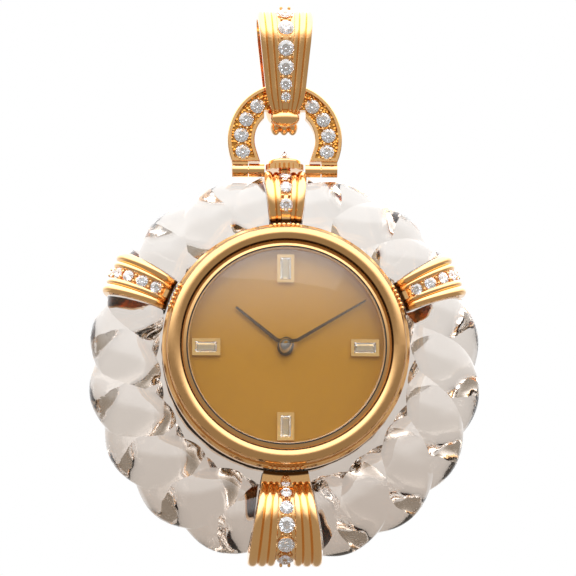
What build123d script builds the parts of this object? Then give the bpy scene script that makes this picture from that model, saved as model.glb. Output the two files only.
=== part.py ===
from build123d import *
from math import acos, asin, atan2, ceil, cos, degrees, floor, hypot, pi, radians, sin, sqrt, tan
import os

os.makedirs("parts", exist_ok=True)

# A gold pendant watch in a carved rock crystal ring, hanging from a diamond-set link and bail.
# It is modelled hanging, with twelve o'clock up (+Z), its dial facing -Y and three o'clock at +X.
# Everything is built round the middle of the case, and written out with the origin in the middle
# of the bail's chain opening. All lengths are in millimetres and all angles in degrees.

# Clearances that many pieces share
fit = 0.02
running_fit = 0.05
overrun = 1.0

# Movement and case, from the movement outwards
movement_radius = 9.9
holder_width = 2.0
dial_step = 0.45
case_rim_wall = 0.7
case_wall = 1.0
bezel_overhang = 1.2
collar_ledge = 0.45
case_bore_radius = movement_radius + holder_width
dial_seat_radius = case_bore_radius + dial_step
case_rim_radius = case_bore_radius + case_rim_wall
barrel_outer_radius = case_bore_radius + case_wall
bezel_radius = barrel_outer_radius + bezel_overhang
collar_radius = bezel_radius + collar_ledge
collar_front = 3.85
collar_edge = 0.25
ring_gap = 0.06
band_gap = 0.25
ring_bore_radius = barrel_outer_radius + ring_gap
counterbore_radius = collar_radius + ring_gap
band_foot_radius = collar_radius + band_gap
case_rim_depth = 3.4

# Crystal ring: a twisted tube, thinner at the top, joined to the case by a flat web
ring_drop = 1.55
tube_radius = 4.52
ring_lap = 0.42
ring_radius = collar_radius + tube_radius - ring_lap
tube_taper = 0.58
lobe_count = 18
first_notch_angle = 19.5
lobe_arc_share = 0.82
lobe_offset_share = 0.18
seat_share = 0.76
web_half = 2.4
web_overlap = 0.2
web_outer_radius = ring_radius - ring_drop + web_overlap
span_step_angle = 4
wedge_step_angle = 60
slot_gap = 0.12

# Gold bands over the crystal: where each one lies, half its angle, its ribs on each side of the
# channel as shares of the side's width, and its stones as pairs of tube angle and diameter
bands = {
    "upper": {
        "azimuth": 90,
        "half_angle": 7.2,
        "rib_shares": [0.6, 0.4],
        "stones": [(26, 1.5), (61, 1.5), (95, 1.55)],
    },
    "right": {
        "azimuth": 24,
        "half_angle": 7.0,
        "rib_shares": [0.6, 0.4],
        "stones": [(4, 1.4), (30, 1.4), (56, 1.4), (82, 1.4), (107, 1.4)],
    },
    "left": {
        "azimuth": 156,
        "half_angle": 7.0,
        "rib_shares": [0.6, 0.4],
        "stones": [(4, 1.4), (30, 1.4), (56, 1.4), (82, 1.4), (107, 1.4)],
    },
    "lower": {
        "azimuth": 270,
        "half_angle": 10.2,
        "rib_shares": [0.36, 0.34, 0.3],
        "stones": [(17, 1.9), (50, 2.0), (79, 1.9), (103, 1.68), (126, 1.34), (143.5, 1.2)],
    },
}
band_rise = 0.3
rib_height = 0.35
rib_rise_share = 0.32
channel_share = 0.26
channel_depth = 0.45
band_foot_height = 0.6
band_foot_length = 1.7
band_reach_angle = 157
band_step_angle = 20
band_root = 0.5
stone_gap = 0.03
pocket_share = 0.9
pocket_sides = 24
# a round stone's table, crown height, half girdle and depth as shares of its radius
brilliant_shares = (0.56, 0.34, 0.04, 0.86)

# Bezel, glass and back
bezel_round_radius = 0.95
bezel_foot_inset = 0.3
bezel_crest_front = 5.9
bezel_reach = 0.95
glass_ledge = 0.2
opening_radius = dial_seat_radius - bezel_reach
glass_radius = opening_radius + glass_ledge
glass_seat_front = 4.3
glass_edge = 0.75
glass_thickness = 0.75
glass_rise = 1.35
gasket_width = 0.15
case_back_radius = collar_radius - ring_gap
case_back_depth = 5.3
case_back_floor = 0.9
case_back_edge = 1.1
case_back_round_share = 0.8
case_back_drop_share = 0.3
case_back_flat_radius = case_rim_radius
back_gasket_radius = (case_rim_radius + case_back_radius) / 2
back_gasket_width = 0.5
back_gasket_depth = 0.25

# Dial, markers and hands
dial_front = 1.9
dial_thickness = 0.4
dial_hole_radius = 0.95
marker_inset = 2.1
marker_distance = opening_radius - marker_inset
marker_length = 3.3
marker_width = 2.0
marker_height = 0.6
marker_wall = 0.36
marker_floor = 0.12
# a baguette stone's rims: height as a share of its setting, and width as a share of its own
baguette_shares = [(0, 0.45), (0.45, 1), (0.6, 1), (0.8, 0.72)]
minute_hand_inset = 0.55
hour_hand_share = 0.69
hour_hand_width = 0.5
hour_hand_angle = 141
hour_hand_front = 2.6
minute_hand_length = opening_radius - minute_hand_inset
hour_hand_length = hour_hand_share * minute_hand_length
minute_hand_width = 0.42
minute_hand_angle = 30.6
minute_hand_front = 3.0
hand_thickness = 0.14
hand_tip_share = 0.55
hub_radius = 0.95
minute_hub_radius = 0.62

# Movement: main plate, bridges and going train, all set out from the middle of the case
plate_front = 1.5
plate_back = -0.5
plate_rim_width = 0.8
bridge_front = -0.9
bridge_back = -1.5
ring_inner_radius = movement_radius + running_fit
motion_recess_depth = 0.55
barrel_angle = 150
barrel_teeth = 64
centre_wheel_teeth = 64
third_wheel_teeth = 60
fourth_wheel_teeth = 60
pinion_leaves = 8
escape_pinion_leaves = 6
escape_teeth = 15
barrel_module = 0.13
centre_module = 0.105
third_module = 0.09
fourth_module = 0.08
third_angle = -60
fourth_angle = 20
escape_angle = 75
escape_radius = 1.75
# an escape tooth's corners: how far round its step, and how far out, both as shares
escape_tooth_shares = [(0, 1), (0.1, 1), (0.42, 0.72), (0.85, 0.72)]
wheel_thickness = 0.18
staff_radius = 0.13
pivot_radius = 0.07
tooth_foot_share = 0.28
tooth_head_share = 0.144
addendum_share = 0.85
dedendum_share = 1.1
barrel_drum_radius = 3.85
barrel_wall = 0.25
barrel_arbor_radius = 0.7
balance_angle = 50
balance_margin = 0.91
balance_radius = 2.6
balance_rim = 0.35
fork_distance = 2.35
fork_reach_share = 0.72
pallet_spread_angle = 32
pallet_pad_share = 0.6
pallet_cock_span = (-0.1, -0.34)
pallet_cock_width = 0.8
pallet_post_angle = 8
pallet_post_distance = 2.1
hairspring_radius = 1.25
hairspring_width = 0.7
hairspring_thickness = 0.08
jewel_radius = 0.35
jewel_thickness = 0.25
cannon_leaves = 12
minute_wheel_teeth = 36
minute_pinion_leaves = 10
hour_wheel_teeth = 40
motion_module = 0.11
minute_wheel_angle = 60
arbor_radius = 0.25
cannon_radius = 0.45
hour_pipe_radius = 0.75
ratchet_teeth = 42
crown_wheel_teeth = 40
winding_module = 0.1
crown_wheel_angle = 38
winding_wheel_front = -1.2
winding_wheel_thickness = 0.25
click_angle = 60
click_nose_angle = 34
click_steps = 4
click_width = 0.75
winding_pinion_radius = 1.12
winding_pinion_length = 0.8
winding_pinion_teeth = 12
pinion_tooth_shares = [(0, 0.86), (0.12, 1), (0.38, 1), (0.5, 0.86)]
screw_radius = 0.55
screw_height = 0.25
screw_angles = [100, 210, 262, 350, 45]

# Winding crown and its stem
stem_radius = 0.35
stem_reach = 5.2
stem_bottom = movement_radius - stem_reach
stem_tube_radius = 0.7
crown_rim_radius = 2.25
crown_rim_height = 0.62
crown_cap_radius = 1.92
crown_cap_height = 0.62
crown_cap_round = 0.3
crown_flutes = 24
crown_flute_depth = 0.16
crown_flute_shares = [(0, 0), (0.5, 0), (0.75, 1)]
crown_socket_depth = 0.35
crown_stone_radius = 0.82
crown_stone_height = 1.08

# Hinge between the head and the link, just above the band at twelve o'clock, with the crown on it
hinge_rise = 0.11
hinge_height = ring_radius - ring_drop + tube_radius - tube_taper + band_rise + hinge_rise
crown_base_height = hinge_height
knuckle_radius = 0.8
hinge_pin_radius = 0.4
knuckle_inner_start = 2.42
knuckle_split = 4.3
knuckle_gap = 0.1
hinge_end = 6.22
pin_start = 2.6
hinge_clearance = 0.17

# Horseshoe link
link_rise = 3.55
link_height = hinge_height + link_rise
link_outer_radius = 6.76
link_inner_radius = 3.6
link_foot_inner = 2.95
link_half_thickness = 0.9
link_rim = 0.42
link_channel_depth = 0.3
link_stone_diameter = 1.7
link_stone_angles = [51, 28, 6, -16]
link_edge_round = 0.18
link_lug_half = 0.5

# Bail: a ribbed strap bent into a long loop, wide at the top and narrow at the bottom
bail_lower_radius = 1.95
bail_upper_radius = 2.7
bail_reach = 6.67
bail_top_half_width = 3.3
bail_waist_half_width = 2.3
bail_chin_half_width = 0.85
bail_heel_half_width = 1.6
bail_chin_fade_share = 0.25
bail_chin_drop = 0.2
bail_thickness = 0.95
bail_rib_height = 0.25
bail_rib_shares = [0.34, 0.38, 0.28]
bail_channel_depth = 0.32
bail_channel_top_half = 1.1
bail_channel_bottom_half = 0.3
bail_notch_clearance = 0.16
# how far up the bail each stone sits, as a share of its rise from the bar, with the stone's diameter
bail_stone_shares = [(0.966, 1.9), (0.7626, 1.9), (0.5203, 1.9), (0.3023, 1.9), (0.1085, 1.45), (-0.0368, 1.17)]
bar_middle_height = link_height + (link_outer_radius + link_inner_radius) / 2
bail_upper_height = bar_middle_height + bail_reach
bail_rise = bail_reach + bail_upper_radius + bail_thickness
bail_stones = [(bar_middle_height + share * bail_rise, size) for share, size in bail_stone_shares]

# The origin lies in the middle of the bail's chain opening
case_drop = bail_upper_height


def save(name, shape):
    """Write one piece, moved so that the origin lies in the bail's chain opening."""
    export_step(Pos(0, 0, -case_drop) * shape, f"parts/{name}.step")


def fused(pieces):
    """One shape from several overlapping ones."""
    first, *rest = pieces
    return first.fuse(*rest) if rest else first


def radial(azimuth):
    """The unit vector from the case's axis towards an angle counted from three o'clock."""
    return Vector(cos(radians(azimuth)), 0, sin(radians(azimuth)))


def tangent(azimuth):
    """The unit vector across that direction, counter-clockwise as seen from the front."""
    return Vector(-sin(radians(azimuth)), 0, cos(radians(azimuth)))


front = Vector(0, -1, 0)


def turned(points, angle=360):
    """A solid turned about the case's axis from points of radius and depth, front negative.

    A point of four numbers is the middle and the end of an arc."""
    edges = []
    here = points[0]
    for point in points[1:] + points[:1]:
        if len(point) == 4:
            middle = Vector(point[0], point[1], 0)
            end = point[2:]
            edges.append(Edge.make_three_point_arc(Vector(*here[-2:], 0), middle, Vector(*end, 0)))
        else:
            edges.append(Edge.make_line(Vector(*here[-2:], 0), Vector(*point[-2:], 0)))
        here = point
    return revolve(Face(Wire(edges)), Axis.Y, angle)


def tube(outer, inner, start, end, x=0, z=0):
    """A round piece along the depth axis from one depth to another, with a bore if inner isn't zero."""
    lower, upper = min(start, end), max(start, end)
    base = Plane((x, lower, z), x_dir=(1, 0, 0), z_dir=(0, 1, 0))
    body = Solid.make_cylinder(outer, upper - lower, base)
    if inner:
        past = Plane((x, lower - overrun, z), x_dir=(1, 0, 0), z_dir=(0, 1, 0))
        body = body.cut(Solid.make_cylinder(inner, upper - lower + 2 * overrun, past))
    return body


def rod(radius, start, end, direction=(0, 0, 1)):
    """A cylinder from one point towards another, given by its two ends along a direction through the axis."""
    way = Vector(*direction)
    return Solid.make_cylinder(radius, end - start, Plane(way * start, z_dir=way))


# Crystal ring


def centre_distance(azimuth):
    """How far the tube's centre lies from the case's axis in a direction."""
    rise = ring_drop * sin(radians(azimuth))
    reach = sqrt(ring_radius**2 - (ring_drop * cos(radians(azimuth))) ** 2)
    return reach - rise


def tube_at(azimuth):
    """The tube's full radius in a direction."""
    return tube_radius - tube_taper * sin(radians(azimuth))


def ring_angle(azimuth):
    """The same direction seen from the ring's own centre, kept within half a turn of it."""
    point = radial(azimuth) * centre_distance(azimuth)
    angle = degrees(atan2(point.Z + ring_drop, point.X))
    return angle + 360 * round((azimuth - angle) / 360)


def lobed_section(azimuth):
    """Two round lobes that meet in two grooves, turned by the twist that this place has."""
    size = tube_at(azimuth)
    centre = radial(azimuth) * centre_distance(azimuth)
    twist = lobe_count / 2 * (ring_angle(azimuth) - first_notch_angle)
    groove = size * sqrt(lobe_arc_share**2 - lobe_offset_share**2)
    lean = degrees(atan2(lobe_offset_share, groove / size))

    def at(origin, angle, distance):
        across = radial(azimuth) * (distance * cos(radians(angle)))
        return origin + across + front * (distance * sin(radians(angle)))

    edges = []
    for turn in (0, 180):
        start_angle = twist + turn
        crest_angle = start_angle + 90
        lobe_centre = at(centre, crest_angle, lobe_offset_share * size)
        arc = lobe_arc_share * size
        start = at(centre, start_angle, groove)
        crest = at(lobe_centre, crest_angle, arc)
        end = at(centre, start_angle + 180, groove)
        first = at(lobe_centre, start_angle + (90 - lean) / 2, arc)
        second = at(lobe_centre, start_angle + 180 - (90 - lean) / 2, arc)
        edges.append(Edge.make_three_point_arc(start, first, crest))
        edges.append(Edge.make_three_point_arc(crest, second, end))
    return Wire(edges)


def ring_seat(azimuth, half_angle, radius):
    """A plain piece of the tube, centred on a direction, for a band to wrap round."""
    centre = Vector(0, 0, -ring_drop)
    start = ring_angle(azimuth - half_angle)
    sweep = ring_angle(azimuth + half_angle) - start
    circle = Wire.make_circle(radius, Plane(centre + radial(start) * ring_radius, z_dir=tangent(start)))
    # turning from the X axis towards +Z is a negative turn about +Y
    return revolve(Face(circle), Axis((0, 0, -ring_drop), (0, -1, 0)), sweep)


def crystal_ring():
    order = sorted(bands.values(), key=lambda band: band["azimuth"] % 360)
    pieces = []
    for here, after in zip(order, order[1:] + order[:1]):
        end = after["azimuth"] + (360 if after["azimuth"] < here["azimuth"] else 0)
        gap = degrees(slot_gap / ring_radius)
        low = here["azimuth"] + here["half_angle"] + gap
        high = end - after["half_angle"] - gap
        count = ceil((high - low) / span_step_angle)
        pieces.append(Solid.make_loft([lobed_section(low + (high - low) * i / count) for i in range(count + 1)]))
    for band in order:
        size = seat_share * tube_at(band["azimuth"])
        pieces.append(ring_seat(band["azimuth"], band["half_angle"] + span_step_angle, size))
    pieces.append(tube(web_outer_radius, ring_bore_radius, -web_half, web_half))
    reach = tube_radius + tube_taper + overrun
    cuts = [tube(counterbore_radius, 0, way * web_half, way * reach) for way in (-1, 1)]
    cuts.append(rod(stem_tube_radius + fit, ring_bore_radius - overrun, ring_radius + tube_radius))
    return fused(pieces).cut(*cuts)


# Stones


def brilliant_shape():
    """A round brilliant of radius 1: an eight-sided table, sixteen girdle corners and a point."""
    table_share, crown_share, girdle_share, pavilion_share = brilliant_shares

    def ring(radius, height, count, turn=0):
        angles = [2 * pi * (k + turn) / count for k in range(count)]
        return [Vector(radius * cos(a), radius * sin(a), height) for a in angles]

    table = ring(table_share, crown_share, 8)
    upper = ring(1, girdle_share, 16)
    lower = ring(1, -girdle_share, 16)
    culet = Vector(0, 0, -pavilion_share)
    faces = [table]
    for k in range(8):
        here, after = table[k], table[(k + 1) % 8]
        left, middle, right = upper[2 * k - 1], upper[2 * k], upper[2 * k + 1]
        faces += [[here, left, middle], [here, middle, right], [here, right, after]]
    for k in range(16):
        nxt = (k + 1) % 16
        faces += [[upper[k], lower[k], lower[nxt], upper[nxt]], [lower[k], culet, lower[nxt]]]
    return Solid(Shell([Face(Wire.make_polygon(face)) for face in faces]))


brilliant = brilliant_shape()


def stone(diameter, place, outward):
    """A round stone whose girdle is centred at a place, its table facing outward."""
    return Plane(place, z_dir=outward).location * brilliant.scale(diameter / 2)


def stone_pocket(diameter, place, outward):
    """The many-sided seat that is cut for a round stone: a point under the girdle and a clear way in above."""
    radius = (diameter / 2 + stone_gap) / cos(pi / pocket_sides)
    depth = pocket_share * radius + stone_gap
    plane = Plane(place - outward * stone_gap, z_dir=outward)
    angles = [2 * pi * (k + 0.5) / pocket_sides for k in range(pocket_sides)]
    rim = [plane.from_local_coords(Vector(radius * cos(a), radius * sin(a), 0)) for a in angles]
    point = place - outward * (depth + stone_gap)
    faces = [rim] + [[here, after, point] for here, after in zip(rim, rim[1:] + rim[:1])]
    pit = Solid(Shell([Face(Wire.make_polygon(face)) for face in faces]))
    well = Solid.extrude(Face(Wire.make_polygon(rim)), outward * overrun)
    return pit.fuse(well)


# Bands


def band_profile(half, channel, rib_shares, base, rise, depth, low):
    """Corners and arcs of a ribbed strap's section, as pairs of side and height, left to right."""
    side = half - channel
    marks = [-half]
    for share in rib_shares:
        marks.append(marks[-1] + side * share / sum(rib_shares))
    edges = [("line", (-half, low), (-half, base))]

    def rib(a, b):
        return ("arc", (a, base), ((a + b) / 2, base + min(rise, rib_rise_share * (b - a))), (b, base))

    edges += [rib(a, b) for a, b in zip(marks, marks[1:])]
    edges.append(("line", (-channel, base), (-channel, base - depth)))
    edges.append(("line", (-channel, base - depth), (channel, base - depth)))
    edges.append(("line", (channel, base - depth), (channel, base)))
    edges += [rib(-b, -a) for a, b in reversed(list(zip(marks, marks[1:])))]
    edges.append(("line", (half, base), (half, low)))
    edges.append(("line", (half, low), (-half, low)))
    return edges


def placed_profile(edges, origin, side, up):
    """The profile's wire in space, with its sides along one vector and its heights along another."""
    made = []
    for kind, *points in edges:
        where = [origin + side * s + up * h for s, h in points]
        if kind == "line":
            made.append(Edge.make_line(*where))
        else:
            made.append(Edge.make_three_point_arc(*where))
    return Wire(made)


def band_sizes(band):
    """The band's tube centre distance, its rib foot radius and the tube angle that it reaches."""
    azimuth = band["azimuth"]
    centre = centre_distance(azimuth)
    base = tube_at(azimuth) + band_rise - rib_height
    top = base + rib_height
    reach = degrees(acos(max(-1, -(centre - band_foot_radius) / top)))
    return centre, base, min(reach, band_reach_angle)


def gold_band(band):
    azimuth, half_angle = band["azimuth"], band["half_angle"]
    centre, base, reach = band_sizes(band)
    seat = seat_share * tube_at(azimuth)
    origin = radial(azimuth) * centre
    count = ceil(2 * reach / band_step_angle)
    sections = []
    for i in range(count + 1):
        angle = radians(-reach + 2 * reach * i / count)
        outward = radial(azimuth) * cos(angle) + front * sin(angle)
        # the sides keep to radial planes, so the width is measured where the slot is narrowest
        height = seat + (base + rib_height - seat) * (1 - cos(angle)) / 2
        half = tan(radians(half_angle)) * (centre + height * cos(angle))
        profile = band_profile(
            half, channel_share * half, band["rib_shares"], base, rib_height, channel_depth, seat - band_root
        )
        sections.append(placed_profile(profile, origin, tangent(azimuth), outward))
    strap = Solid.make_loft(sections)
    feet = []
    for way in (-1, 1):
        plate = tube(
            band_foot_radius + band_foot_length, band_foot_radius, way * web_half, way * (web_half + band_foot_height)
        )
        feet.append(plate.intersect(wedge(azimuth - half_angle, azimuth + half_angle, centre)).solids()[0])
    cuts = [ring_seat(azimuth, half_angle + span_step_angle, seat + fit)]
    cuts.append(tube(web_outer_radius, ring_bore_radius, -web_half - fit, web_half + fit))
    body = fused([strap] + feet).cut(*cuts)
    for angle, diameter in band["stones"]:
        body = body.cut(stone_pocket(diameter, *band_stone_seat(band, angle)))
    return body


def band_stone_seat(band, angle):
    """The place and direction of a band's stone at a tube angle."""
    azimuth = band["azimuth"]
    centre, base, reach = band_sizes(band)
    outward = radial(azimuth) * cos(radians(angle)) + front * sin(radians(angle))
    return radial(azimuth) * centre + outward * (base - stone_gap), outward


def wedge(start, end, reach):
    """A thick pie slice about the case's axis, from one angle to another."""
    far = 3 * reach
    count = ceil((end - start) / wedge_step_angle)
    rim = [radial(start + (end - start) * k / count) * far for k in range(count + 1)]
    points = [point - Vector(0, far, 0) for point in [Vector(0, 0, 0)] + rim]
    return Solid.extrude(Face(Wire.make_polygon(points)), Vector(0, 2 * far, 0))


def band_stones(band):
    return Compound([stone(diameter, *band_stone_seat(band, angle)) for angle, diameter in band["stones"]])


# Hinge knuckles


def knuckles(start, end):
    """A matching pair of short barrels on the hinge's axis, left and right."""
    made = []
    for way in (-1, 1):
        base = Plane((way * start, 0, hinge_height), z_dir=(way, 0, 0))
        made.append(Solid.make_cylinder(knuckle_radius, end - start, base))
    return made


def pins(radius, start, end):
    made = []
    for way in (-1, 1):
        base = Plane((way * start, 0, hinge_height), z_dir=(way, 0, 0))
        made.append(Solid.make_cylinder(radius, end - start, base))
    return made


def upper_band():
    body = fused([gold_band(bands["upper"])] + knuckles(knuckle_inner_start, knuckle_split - knuckle_gap / 2))
    hole = rod(stem_tube_radius + fit, ring_bore_radius, crown_base_height + overrun)
    return body.cut(hole, *pins(hinge_pin_radius + running_fit, pin_start - running_fit, hinge_end + overrun))


# Link


def link_outline(inset=0):
    """The horseshoe's face on the mid-plane, drawn smaller all round by an inset."""
    outer, inner, foot_inner = link_outer_radius, link_inner_radius, link_foot_inner
    foot = hinge_height + knuckle_radius + hinge_clearance
    drop = link_height - foot
    corner = sqrt(outer**2 - drop**2)
    # the straight inner edge is tangent to the inner arc
    towards = degrees(atan2(-drop, foot_inner))
    touch = radians(towards + degrees(acos(inner / hypot(drop, foot_inner))))
    tx, tz = inner * cos(touch), link_height + inner * sin(touch)
    points = [(foot_inner, foot), (tx, tz), (-tx, tz), (-foot_inner, foot), (-corner, foot), (corner, foot)]
    a, b, c, d, e, f = [Vector(x, 0, z) for x, z in points]
    edges = [
        Edge.make_line(a, b),
        Edge.make_three_point_arc(b, Vector(0, 0, link_height + inner), c),
        Edge.make_line(c, d),
        Edge.make_line(d, e),
        Edge.make_three_point_arc(e, Vector(0, 0, link_height + outer), f),
        Edge.make_line(f, a),
    ]
    outline = Wire(edges)
    return Face(outline.offset_2d(-inset, Kind.INTERSECTION)) if inset else Face(outline)


def extruded(face, start, end):
    """A face on the mid-plane made solid from one depth to another."""
    low, high = min(start, end), max(start, end)
    return Solid.extrude(Pos(0, low, 0) * face, Vector(0, high - low, 0))


def link_stone_places():
    middle = (link_outer_radius + link_inner_radius) / 2
    depth = -link_half_thickness + link_channel_depth / 2
    for way in (-1, 1):
        for angle in link_stone_angles:
            yield Vector(
                way * middle * cos(radians(angle)), depth, link_height + middle * sin(radians(angle))
            )


def link_frame():
    body = extruded(link_outline(), -link_half_thickness, link_half_thickness)
    body = body.chamfer(link_edge_round / 2, None, body.edges().group_by(Axis.Y)[0])
    body = body.chamfer(link_edge_round / 2, None, body.edges().group_by(Axis.Y)[-1])
    channel = extruded(
        link_outline(link_rim), -link_half_thickness - overrun, -link_half_thickness + link_channel_depth
    )
    foot = hinge_height + knuckle_radius + hinge_clearance
    start = knuckle_split + knuckle_gap / 2
    lugs = []
    for way in (-1, 1):
        size = (hinge_end - start, 2 * link_lug_half, foot - hinge_height + link_edge_round)
        centre = (way * (hinge_end + start) / 2, 0, hinge_height + size[2] / 2)
        lugs.append(Pos(*centre) * Solid.make_box(*size, Plane((-size[0] / 2, -size[1] / 2, -size[2] / 2))))
    notch_half = bail_waist_half_width + bail_notch_clearance
    notch_top = link_height + link_inner_radius
    notch = Solid.make_box(
        2 * notch_half,
        2 * link_half_thickness + 2 * overrun,
        link_inner_radius,
        Plane((-notch_half, -link_half_thickness - overrun, notch_top - link_inner_radius)),
    )
    pockets = [stone_pocket(link_stone_diameter, place, front) for place in link_stone_places()]
    whole = fused([body] + lugs + knuckles(start, hinge_end))
    return whole.cut(channel, notch, *pockets, *pins(hinge_pin_radius + fit, start - overrun, hinge_end + overrun))


# Bail

# the tangent lines between the two arcs lean by this angle
bail_lean = degrees(atan2(bail_lower_radius - bail_upper_radius, bail_upper_height - bar_middle_height))


def bail_fall_share(height):
    """How wide the strap is under the bar: nothing at the very bottom, full from the bar's middle up."""
    bottom = bar_middle_height - bail_lower_radius
    return sqrt(min(1, max(0, (height - bottom) / bail_lower_radius)))


def bail_half_width(height, bottom_half):
    """Half the strap's width at a height: a long taper, then a round end under the bar."""
    if height > bar_middle_height:
        top = bail_upper_height + bail_upper_radius
        share = (height - bar_middle_height) / (top - bar_middle_height)
        return bail_waist_half_width + share * (bail_top_half_width - bail_waist_half_width)
    return bottom_half + bail_fall_share(height) * (bail_waist_half_width - bottom_half)


def bail_channel_half(height):
    top = bail_upper_height + bail_upper_radius
    bottom = bar_middle_height - bail_lower_radius
    share = (height - bottom) / (top - bottom)
    return bail_channel_bottom_half + share * (bail_channel_top_half - bail_channel_bottom_half)


def bail_places():
    """Points along the front of the loop's inner face, each with its outward direction."""
    lower = [-90 + (bail_lean + 90) * k / 4 for k in range(5)]
    upper = [bail_lean + (90 - bail_lean) * k / 5 for k in range(6)]

    def at(height, radius, angle):
        outward = front * cos(radians(angle)) + Vector(0, 0, sin(radians(angle)))
        return Vector(0, 0, height) + outward * radius, outward

    low = [at(bar_middle_height, bail_lower_radius, a) for a in lower]
    high = [at(bail_upper_height, bail_upper_radius, a) for a in upper]
    (start, outward), (end, _) = low[-1], high[0]
    between = [(start + (end - start) * k / 4, outward) for k in (1, 2, 3)]
    return low + between + high


def bail_half(bottom_half, fade_share, drop):
    """One half of the loop, which gets thinner and whose ribs fade to a share of their height at the bottom."""
    sections = []
    for place, outward in bail_places():
        half = bail_half_width(place.Z, bottom_half)
        channel = bail_channel_half(place.Z)
        full = bail_fall_share(place.Z)
        fade = fade_share + (1 - fade_share) * full
        thickness = bail_thickness - drop * (1 - full)
        rise, depth = fade * bail_rib_height, fade * bail_channel_depth
        profile = band_profile(half, channel, bail_rib_shares, thickness, rise, depth, 0)
        sections.append(placed_profile(profile, place, Vector(1, 0, 0), outward))
    return Solid.make_loft(sections)


def bail_stone_seat(height):
    """The place and direction of a stone whose girdle's middle is at a height on the front."""
    girdle = bail_thickness - stone_gap
    lean = radians(bail_lean)
    turn = bail_upper_height + (bail_upper_radius + girdle) * sin(lean)
    if height > turn:
        angle = degrees(asin((height - bail_upper_height) / (bail_upper_radius + girdle)))
        outward = front * cos(radians(angle)) + Vector(0, 0, sin(radians(angle)))
        return Vector(0, 0, bail_upper_height) + outward * (bail_upper_radius + girdle), outward
    outward = front * cos(lean) + Vector(0, 0, sin(lean))
    foot = Vector(0, 0, bar_middle_height) + outward * (bail_lower_radius + girdle)
    along = Vector(0, 0, 1) * cos(lean) - front * sin(lean)
    return foot + along * ((height - foot.Z) / along.Z), outward


def bail_shell():
    # the front runs out in a smooth chin, and the back is wider and ribbed to the end
    chin = bail_half(bail_chin_half_width, bail_chin_fade_share, bail_chin_drop)
    heel = bail_half(bail_heel_half_width, 1, 0).mirror(Plane.XZ)
    whole = chin.fuse(heel)
    return whole.cut(*[stone_pocket(size, *bail_stone_seat(height)) for height, size in bail_stones])


# Case


def case_middle():
    body = turned(
        [
            (dial_seat_radius, -collar_front),
            (collar_radius - collar_edge, -collar_front),
            (collar_radius, -collar_front + collar_edge),
            (collar_radius, -web_half),
            (barrel_outer_radius, -web_half),
            (barrel_outer_radius, web_half),
            (case_rim_radius, web_half),
            (case_rim_radius, case_rim_depth),
            (case_bore_radius, case_rim_depth),
            (case_bore_radius, -dial_front + dial_thickness),
            (dial_seat_radius, -dial_front + dial_thickness),
        ]
    )
    return body.cut(rod(stem_tube_radius + fit, movement_radius, ring_radius))


def bezel():
    crest_radius = bezel_radius - bezel_round_radius
    crest_depth = -bezel_crest_front + bezel_round_radius
    inner_wall = bezel_radius - 2 * bezel_round_radius
    return turned(
        [
            (opening_radius, -dial_front - fit),
            (dial_seat_radius - fit, -dial_front - fit),
            (dial_seat_radius - fit, -collar_front),
            (bezel_radius - bezel_foot_inset, -collar_front),
            (bezel_radius, crest_depth),
            (crest_radius, -bezel_crest_front, inner_wall, crest_depth),
            (glass_radius + gasket_width + fit, -glass_seat_front - glass_edge),
            (glass_radius + gasket_width + fit, -glass_seat_front),
            (opening_radius, -glass_seat_front),
        ]
    )


def domed(top, rise, radius):
    """The middle and the end of an arc that falls from a point on the axis to a radius."""
    sphere = (radius**2 + rise**2) / (2 * rise)
    angle = asin(radius / sphere) / 2
    return (sphere * sin(angle), top + sphere - sphere * cos(angle), radius, top + rise)


def watch_glass():
    top = -glass_seat_front - glass_edge - glass_rise
    inner_top = top + glass_thickness
    middle_x, middle_y, edge_x, edge_y = domed(top, glass_rise, glass_radius)
    return turned(
        [
            (0, inner_top),
            domed(inner_top, -glass_seat_front - inner_top, glass_radius),
            (edge_x, edge_y),
            (middle_x, middle_y, 0, top),
        ]
    )


def case_back():
    inner = case_rim_radius + running_fit
    floor_depth = case_back_depth - case_back_floor
    body = turned(
        [
            (inner, web_half),
            (case_back_radius, web_half),
            (case_back_radius, case_back_depth - case_back_edge),
            (
                case_back_flat_radius + (case_back_radius - case_back_flat_radius) * case_back_round_share,
                case_back_depth - case_back_edge * case_back_drop_share,
                case_back_flat_radius,
                case_back_depth,
            ),
            (0, case_back_depth),
            (0, floor_depth),
            (inner, floor_depth),
        ]
    )
    groove = back_gasket_width / 2 + fit
    return body.cut(
        tube(back_gasket_radius + groove, back_gasket_radius - groove, web_half - fit, web_half + back_gasket_depth)
    )


def back_gasket():
    half = back_gasket_width / 2
    return tube(back_gasket_radius + half, back_gasket_radius - half, web_half, web_half + back_gasket_depth - fit)


# Dial, markers and hands


def marker_places():
    """The middle of each marker on the dial with the angle that it points out at."""
    return [(radial(a) * marker_distance, a) for a in (0, 90, 180, 270)]


def standing_box(length, width, low, high, place, angle):
    """A box on the dial's face, long side along an angle, between two heights above the dial."""
    plane = Plane(place + front * (dial_front + low), x_dir=radial(angle), z_dir=front)
    return Solid.extrude(plane.location * Face.make_rect(length, width), front * (high - low))


def marker_settings():
    made = []
    for place, angle in marker_places():
        outer = standing_box(marker_length, marker_width, 0, marker_height, place, angle)
        inner = standing_box(
            marker_length - 2 * marker_wall,
            marker_width - 2 * marker_wall,
            marker_floor,
            marker_height + overrun,
            place,
            angle,
        )
        made.append(outer.cut(inner))
    return Compound(made)


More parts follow.
